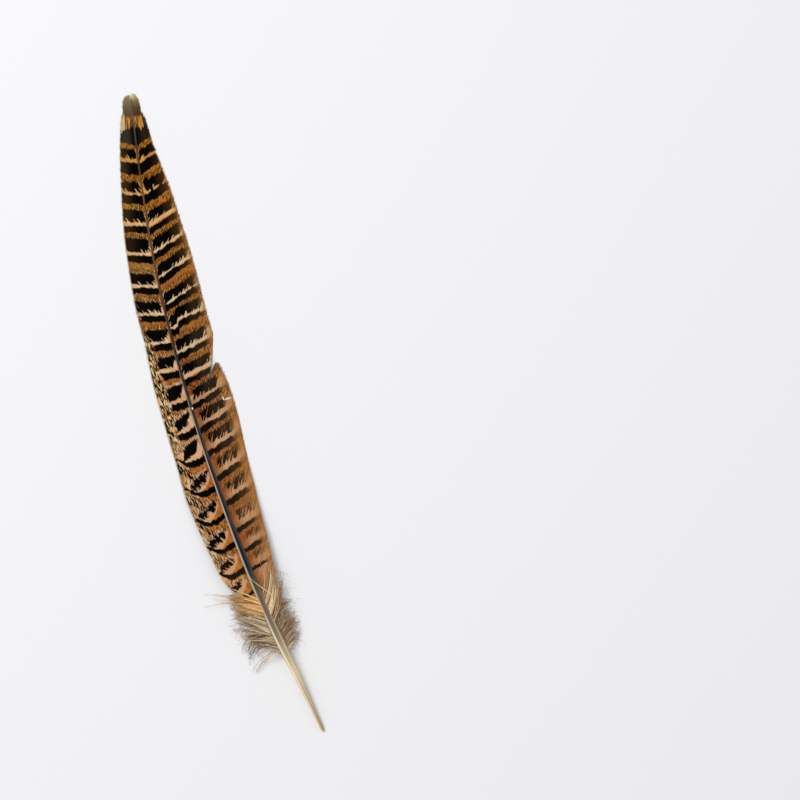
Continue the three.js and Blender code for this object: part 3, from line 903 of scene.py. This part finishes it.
def ground_colour(tree, side, along, across, marks):
    """Ochre, chestnut and tan under the black marks, with the cream laid in."""
    share = tree.math("DIVIDE", along, float(LENGTH))
    if side > 0:
        ochre = tree.ramp(share, [
            (0.20, srgb("bd8450")), (0.34, srgb("ad713a")), (0.52, srgb("b27137")),
            (0.66, srgb("b5722c")), (0.86, srgb("b87322")), (1.0, srgb("c27c1f"))])
        near_shaft = tree.math("MULTIPLY", tree.step(across, 6.5, 1.5),
                               tree.step(along, 168, 140))
        ochre = tree.mix(tree.math("MULTIPLY", near_shaft, 0.8), ochre, srgb("90491d"))
    else:
        ochre = tree.ramp(share, [
            (0.20, srgb("d9a252")), (0.26, srgb("cb8639")), (0.44, srgb("b6702c")),
            (0.56, srgb("a5632a")), (0.66, srgb("a26a29")), (0.74, srgb("a1722e")),
            (0.86, srgb("ac7423")), (1.0, srgb("be8129"))])
        near_shaft = tree.math("MULTIPLY", tree.step(across, 5.0, 1.0),
                               tree.step(along, 200, 130))
        ochre = tree.mix(tree.math("MULTIPLY", near_shaft, 0.6), ochre, srgb("b5661f"))
    # the ground is darker in streaks that follow the barbs
    streak_place = tree.vector(tree.number("root"), tree.math("MULTIPLY", across, 0.45), 4.0)
    streaks = tree.noise(streak_place, 0.55, 4, 0.65)
    ochre = tree.mix(tree.step(streaks, 0.36, 0.66, 0.0, 0.5), ochre, srgb("6e3f16"))
    cream = tree.ramp(share, [
        (0.26, srgb("d2a277")), (0.40, srgb("d6a67c")), (0.56, srgb("deb890")),
        (0.70, srgb("e8cca2")), (0.82, srgb("e2b578")), (0.90, srgb("dfa04a"))])
    worn = 0.35 if side > 0 else tree.step(along, 100, 145, 0.15, 0.6)
    worn = tree.math("MULTIPLY", tree.step(streaks, 0.36, 0.66), worn)
    cream = tree.mix(worn, cream, srgb("b8824e"))
    pale = 0.6 if side < 0 else 0.25
    ochre = tree.mix(tree.math("MULTIPLY", marks["Flecks"], pale), ochre, cream)
    if side < 0:
        return tree.mix(marks["Cream"], ochre, cream)
    # lower on the right vane the cream is a broad soft band instead of a line
    phase = tree.math("ADD", tree.number("phase"), tree.math("MULTIPLY", tree.math(
        "SUBTRACT", tree.noise(tree.vector(tree.number("root"), 0.0), 0.9, 2), 0.5), 0.45))
    band = tree.step(phase, 0.60, 0.30)
    band = tree.math("MULTIPLY", band, tree.step(across, 1.0, 6.0, 0.15, 0.95))
    band = tree.math("MULTIPLY", band, tree.step(along, 60, 110, 0.6, 1.0))
    low = tree.step(along, 146, 118)
    line = tree.math("MULTIPLY", marks["Cream"], tree.math("SUBTRACT", 1.0, low))
    return tree.mix(tree.math("MAXIMUM", line, tree.math("MULTIPLY", band, low)), ochre, cream)


# %% Colours of the two vanes
def left_colours(tree, along, across, share, marks):
    # towards the margin the marks break up into black worms on cream
    starts = tree.step(along, 150, 168, 7.6, 10.2)
    starts = tree.math("ADD", starts, tree.step(along, 128, 116, 0.0, 0.9))
    edge_noise = tree.noise(tree.vector(tree.number("root"), across, 5.0), 0.6, 2)
    starts = tree.math("MULTIPLY_ADD", tree.math("SUBTRACT", edge_noise, 0.5), 5.0, starts)
    outer = tree.step(tree.math("SUBTRACT", across, starts), -0.4, 0.4)
    outer = tree.math("MULTIPLY", outer, tree.step(along, 176, 166))
    middle = tree.step(along, 112, 124)
    keep = tree.math("SUBTRACT", 1.0, tree.math("MULTIPLY", outer, middle))
    patch = tree.noise(tree.vector(along, across, 9.0), 0.55, 2)
    worm_ground = tree.mix(tree.step(patch, 0.42, 0.60), srgb("ecd2a2"), srgb("c98f3f"))
    ground = ground_colour(tree, -1, along, across, marks)
    ground = tree.mix(tree.math("MULTIPLY", outer, tree.step(along, 112, 124, 0.45, 0.85)),
                      ground, worm_ground)
    dark = tree.math("MULTIPLY", tree.math("MAXIMUM", marks["Clean"], marks["Ragged"]), keep)
    dark = tree.math("MAXIMUM", dark, tree.math("MULTIPLY", marks["Specks"], 0.9))
    # below, the worms only fill the upper half of each unit
    phase = tree.number("phase")
    low_worms = tree.math("MULTIPLY", tree.step(across, 5.5, 8.0),
                          tree.math("MULTIPLY", tree.step(phase, 0.42, 0.55),
                                    tree.step(phase, 0.97, 0.80)))
    low_worms = tree.math("MULTIPLY", low_worms, tree.step(along, 122, 112))
    low_worms = tree.math("MULTIPLY", low_worms, tree.step(along, 62, 80))
    worms = tree.math("MAXIMUM", tree.math("MULTIPLY", outer, middle), low_worms)
    dark = tree.math("MAXIMUM", dark, tree.math("MULTIPLY", marks["Strokes"], worms))
    # towards the top and the margin the black turns olive brown: a painted sheen where the barbs
    # face the light
    top = tree.math("MULTIPLY", tree.step(along, 172, 222), tree.step(share, 0.35, 0.95))
    black = tree.mix(tree.step(along, 82, 60), srgb("030303"), srgb("2a1c10"))
    black = tree.mix(top, black, srgb("3f2e17"))
    colour = tree.mix(dark, ground, black)
    # a pale rim along the margin: cream near the tip, and near white lower down, where it is a
    # painted highlight on the curled edge
    edge = tree.step(share, 0.94, 0.99)
    edge = tree.math("MULTIPLY", edge, tree.step(along, 222, 200, 0.25, 0.8))
    rim = tree.mix(tree.step(along, 150, 185), srgb("e9e0cc"), srgb("cda659"))
    return tree.mix(edge, colour, rim)


def right_colours(tree, along, across, share, marks):
    ground = ground_colour(tree, 1, along, across, marks)
    edge = tree.math("ADD", share, tree.step(along, 145, 172, 0.03, -0.08))
    edge = tree.math("MULTIPLY", tree.step(edge, 0.72, 0.92), tree.step(along, 226, 196))
    ground = tree.mix(tree.math("MULTIPLY", edge, 0.7), ground, srgb("b98246"))
    faded = tree.step(along, 140, 85)
    turn = tree.math("ADD", across, tree.step(along, 150, 175, 0.0, -3.5))
    turn = tree.math("ADD", turn, tree.step(along, 180, 226, 0.0, 3.8))
    turn = tree.step(turn, 4.2, 8.5)
    brown = tree.mix(tree.step(along, 200, 150), srgb("3a250f"), srgb("2c2218"))
    inner = tree.mix(tree.math("MULTIPLY", faded, 0.8), srgb("030303"), srgb("281e16"))
    olive = tree.mix(turn, inner, tree.mix(faded, brown, srgb("44321f")))
    # lower down the ragged bars are combed into strokes and soft patches
    low = tree.step(along, 126, 108)
    comb = tree.noise(tree.vector(tree.number("root"), tree.math("MULTIPLY", across, 0.3)),
                      0.75, 2, 0.6)
    comb = tree.step(comb, tree.step(along, 148, 108, 0.20, 0.37),
                     tree.step(along, 148, 108, 0.25, 0.48))
    weak = tree.math("MULTIPLY", comb, tree.step(along, 100, 66, 1.0, 0.6))
    dark = tree.math("MAXIMUM", marks["Clean"], tree.math("MULTIPLY", marks["Ragged"], weak))
    dark = tree.math("MULTIPLY", dark, tree.math("MULTIPLY_ADD", edge, -0.65, 1.0))
    dark = tree.math("MAXIMUM", dark, tree.math("MULTIPLY", marks["Specks"],
                                                tree.math("MULTIPLY_ADD", low, -0.6, 0.9)))
    colour = tree.mix(dark, ground, olive)
    # one cream line curls up beside the shaft into a hook round a black core, and stops there
    loop = spot_mask(tree, along, across, 214.4, 1.5, 1.9, 1.35)
    core = spot_mask(tree, along, across, 216.3, 1.95, 2.9, 1.25)
    stop = spot_mask(tree, along, across, 214.3, 3.6, 1.5, 0.55)
    colour = tree.mix(loop, colour, srgb("dda45c"))
    colour = tree.mix(tree.math("MAXIMUM", core, stop), colour, olive)
    rim = tree.math("MULTIPLY", tree.step(share, 0.92, 0.99), tree.step(along, 238, 226))
    colour = tree.mix(tree.math("MULTIPLY", rim, 0.6), colour, srgb("a8692c"))
    # two short barb stubs are bleached white
    lying = spot_mask(tree, along, across, 129.9, 14.0, 0.30, 1.5)
    rising = spot_mask(tree, along, across, 130.6, 12.4, 0.85, 0.25)
    return tree.mix(tree.math("MAXIMUM", lying, rising), colour, srgb("f4efe6"))


def tip_colours(tree, side, along, across, colour):
    """Over the last bar: a black block, orange flames and the olive tongue."""
    slope = 0.42 if side < 0 else 0.55
    bent = tree.math("MULTIPLY_ADD", tree.math("SUBTRACT", 243.0, along), -0.13, across)
    flames = tree.noise(tree.vector(bent, tree.math("MULTIPLY", along, 0.05), 2.0 + side),
                        1.3, 1)
    waver = tree.math("MULTIPLY_ADD", tree.math("SUBTRACT", flames, 0.5), 7.0, along)
    levelled = tree.math("MULTIPLY_ADD", across, -slope, along)
    # on the left vane the block is olive grey, a painted sheen; on the right it is dark brown
    block = srgb("38352a") if side < 0 else srgb("2c2115")
    block = tree.mix(tree.step(across, 0.6, 3.2), srgb("0c0b09"), block)
    tongue = tree.ramp(tree.step(along, 241, 250), [
        (0.0, srgb("5c4c36") if side < 0 else srgb("4e3924")),
        (0.5, srgb("756448") if side < 0 else srgb("685236")),
        (0.86, srgb("8c7a58")), (1.0, srgb("a08e68"))])
    notch = tree.step(across, 2.4, 0.4) if side > 0 else tree.step(across, 0.8, 0.2)
    notch = tree.math("MULTIPLY", notch, tree.step(along, 247.2, 249.2))
    tongue = tree.mix(notch, tongue, srgb("e2cf88"))
    fire = tree.mix(tree.step(across, 2.6, 3.8), srgb("dc9440"), srgb("d9b988"))
    flame = tree.mix(tree.step(flames, 0.48, 0.54), tongue, fire)
    tip = tree.mix(tree.step(waver, 237.4, 238.2), block, flame)
    ends = tree.step(across, 2.6, 3.8, 242.0, 244.2)
    tip = tree.mix(tree.step(tree.math("SUBTRACT", waver, ends), -0.5, 0.6), tip, tongue)
    return tree.mix(tree.step(levelled, 230.5, 230.9), colour, tip)


# %% Vane materials
def vane_material(name, side):
    material, tree, shader = new_material(name)
    along, across = tree.number("along"), tree.number("across")
    share = tree.number("share")
    marks = placed_marks(tree, side, along, across)
    paint = left_colours if side < 0 else right_colours
    colour = paint(tree, along, across, share, marks)
    colour = tip_colours(tree, side, along, across, colour)

    shaded = tree.add("ShaderNodeGroup", {
        "Colour": colour, "Chance": tree.number("chance"), "Ridge": tree.number("ridge"),
        "Under": tree.number("under")}, node_tree=barb_shade)
    tree.put(shader.inputs["Base Color"], shaded.outputs["Colour"])
    shader.inputs["Roughness"].default_value = 0.65
    shader.inputs["Specular IOR Level"].default_value = 0.03

    hooks = tree.noise(tree.vector(along, tree.math("MULTIPLY", across, 6.0)), 3.0, 2)
    bump = tree.add("ShaderNodeBump", {"Height": hooks, "Strength": 0.25, "Distance": 0.00006})
    tree.put(shader.inputs["Normal"], bump.outputs["Normal"])
    return material


left_vane.data.materials.append(vane_material("left vane barbs", -1))
right_vane.data.materials.append(vane_material("right vane barbs", 1))


# %% [markdown]
# The shaft is horn. Bare and hollow it is straw coloured; filled with pith and dye further up it
# turns slate black, and it ends as a thin brown line. Light catches it in two narrow stripes, one
# on the left shoulder and one right of the groove, and these are painted highlights. The horn
# has one short list of tones from root to tip. The painted highlights are that same horn mixed
# with white, much of it on the clear quill and hardly any near the tip, so both change together.


# %% Horn tones
OLD_STRAW = srgb("967a4e")
PALE_STRAW = srgb("dcc898")
TAN = srgb("887454")
SLATE = srgb("18181a")
BARK = srgb("2c1e12")
RUST = srgb("6a4420")
TIP_BROWN = srgb("564630")
# the colour of the painted highlights on the shaft
HIGHLIGHT_WHITE = srgb("faf0e4")


# %% Shaft material
def shaft_material():
    material, tree, shader = new_material("shaft horn")
    along, across = tree.number("along"), tree.number("across")
    share = tree.math("DIVIDE", along, float(LENGTH))
    wander = tree.noise(tree.vector(tree.math("MULTIPLY", along, 0.10), 0.0), 1.0, 2)
    dark = tree.ramp(share, [(0.0, OLD_STRAW), (0.10, PALE_STRAW), (0.16, TAN), (0.27, SLATE),
                             (0.60, BARK), (0.86, RUST), (0.90, BARK), (0.96, TIP_BROWN)])
    # how strong the painted highlights are: most on the clear quill, hardly any near the tip
    clear = tree.step(share, 0.14, 0.20, 0.70, 0.40)
    highlight_strength = tree.math("MULTIPLY", clear, tree.step(share, 0.40, 0.66, 1.0, 0.08))
    highlight_tone = tree.mix(highlight_strength, dark, HIGHLIGHT_WHITE)
    # two narrow stripes of painted highlight, on the left shoulder and right of the groove
    left_highlight = tree.step(tree.math("ABSOLUTE", tree.math("ADD", across, 0.60)), 0.30, 0.08)
    right_highlight = tree.step(tree.math("ABSOLUTE", tree.math("SUBTRACT", across, 0.58)),
                             0.30, 0.08)
    right_highlight = tree.math("MULTIPLY", right_highlight, tree.step(share, 0.24, 0.20, 0.12, 0.5))
    highlight_mask = tree.math("MAXIMUM", left_highlight, right_highlight)
    colour = tree.mix(highlight_mask, dark, highlight_tone)
    streaks = tree.noise(tree.vector(tree.math("MULTIPLY", along, 0.12),
                                     tree.math("MULTIPLY", across, 3.0)), 2.0, 3)
    shade = tree.math("MULTIPLY_ADD", streaks, 0.36, 0.82)
    colour = tree.mix(1.0, colour, tree.vector(shade, shade, shade), "MULTIPLY")
    colour = tree.mix(tree.math("MULTIPLY", tree.step(wander, 0.5, 0.7), 0.10), colour,
                      srgb("8a7a5c"))
    chip = spot_mask(tree, along, across, 130.3, 0.45, 0.5, 0.35)
    colour = tree.mix(chip, colour, srgb("efe9df"))
    tree.put(shader.inputs["Base Color"], colour)
    shader.inputs["Roughness"].default_value = 0.4
    shader.inputs["Specular IOR Level"].default_value = 0.14
    bump = tree.add("ShaderNodeBump", {"Height": streaks, "Strength": 0.2, "Distance": 0.0001})
    tree.put(shader.inputs["Normal"], bump.outputs["Normal"])
    return material


shaft.data.materials.append(shaft_material())


# %% Down material
def down_material():
    material, tree, shader = new_material("down")
    chance, reach = tree.number("chance"), tree.number("reach")
    grey = tree.ramp(chance, [(0.0, srgb("7d6247")), (0.25, srgb("a68a6a")),
                              (0.6, srgb("c8b08e")), (0.85, srgb("dfcba8")),
                              (1.0, srgb("f0e2c2"))])
    grey = tree.mix(tree.step(reach, 0.65, 1.0, 0.0, 0.6), grey, srgb("b98f68"))
    ochre = tree.ramp(chance, [(0.0, srgb("7d4f22")), (0.2, srgb("b5743a")),
                               (0.6, srgb("d3a05a")), (1.0, srgb("e4c184"))])
    grey = tree.mix(tree.step(tree.number("tint"), -0.2, -0.7), grey, srgb("54422f"))
    colour = tree.mix(tree.number("tint"), grey, ochre)
    tree.put(shader.inputs["Base Color"], colour)
    shader.inputs["Roughness"].default_value = 0.6
    shader.inputs["Specular IOR Level"].default_value = 0.2
    return material


down_finish = down_material()
left_down.data.materials.append(down_finish)
right_down.data.materials.append(down_finish)
print("materials:", [material.name for material in bpy.data.materials])

# %% [markdown]
# ## Table, light and camera
# The feather lies on a plain white table and is seen from straight above. One wide soft light
# from the upper left and an even white sky show the grain with only a faint shadow. The camera
# stands far back with a long lens, so the flat feather shows almost no perspective.

# %% Floor
floor_mesh = bpy.data.meshes.new("floor")
FLOOR_REACH = 3.0
floor_mesh.from_pydata([(x * FLOOR_REACH, y * FLOOR_REACH, 0)
                        for x, y in ((-1, -1), (1, -1), (1, 1), (-1, 1))], [], [(0, 1, 2, 3)])
floor = bpy.data.objects.new("floor", floor_mesh)
bpy.context.scene.collection.objects.link(floor)
floor_material, _, floor_shader = new_material("white table")
floor_shader.inputs["Base Color"].default_value = srgb("f0f0f2")
floor_shader.inputs["Roughness"].default_value = 0.7
floor_shader.inputs["Specular IOR Level"].default_value = 0.2
floor_mesh.materials.append(floor_material)
floor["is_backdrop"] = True

# %% Lights
TURN = math.radians(-16.69)  # the feather's tilt as the camera sees it
SKY_STRENGTH = 0.62


def soft_light(name, x, y, z, size, power):
    """A square lamp placed as the camera sees the table, and aimed at the feather."""
    lamp = bpy.data.lights.new(name, "AREA")
    lamp.shape = "SQUARE"
    lamp.size = size
    lamp.energy = power
    holder = bpy.data.objects.new(name, lamp)
    place = Vector((x, y, z))
    place.rotate(Matrix.Rotation(TURN, 3, "Z"))
    holder.location = place
    holder.rotation_euler = (-place).to_track_quat("-Z", "Y").to_euler()
    bpy.context.scene.collection.objects.link(holder)
    return holder


window = soft_light("window", -1.1, 0.9, 1.5, size=1.1, power=26)
world = bpy.data.worlds.new("even sky")
bpy.context.scene.world = world
world.use_nodes = True
world.node_tree.nodes["Background"].inputs["Color"].default_value = (1, 1, 1, 1)
world.node_tree.nodes["Background"].inputs["Strength"].default_value = SKY_STRENGTH
bpy.context.scene.view_settings.view_transform = "Standard"
print("lamp at", [round(v, 2) for v in window.location], "m")

# %% Camera
VIEW_WIDTH = 300.8
LENS = 300
SENSOR = 36
VIEW_X = 75.8
VIEW_Y = -14.0
camera_data = bpy.data.cameras.new("camera")
camera_data.lens = LENS
camera_data.sensor_width = SENSOR
camera_data.clip_end = 20
camera = bpy.data.objects.new("camera", camera_data)
camera.location = (VIEW_X * MM, VIEW_Y * MM, VIEW_WIDTH * MM * LENS / SENSOR)
camera.rotation_euler = (0, 0, TURN)
bpy.context.scene.collection.objects.link(camera)
bpy.context.scene.camera = camera
print(f"camera {camera.location.z:.2f} m above the table")

# %% Size of the dressed model
dressed_box = [list(corner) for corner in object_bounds()]
print("dressed box in mm:", [[round(v / MM, 2) for v in corner] for corner in dressed_box])
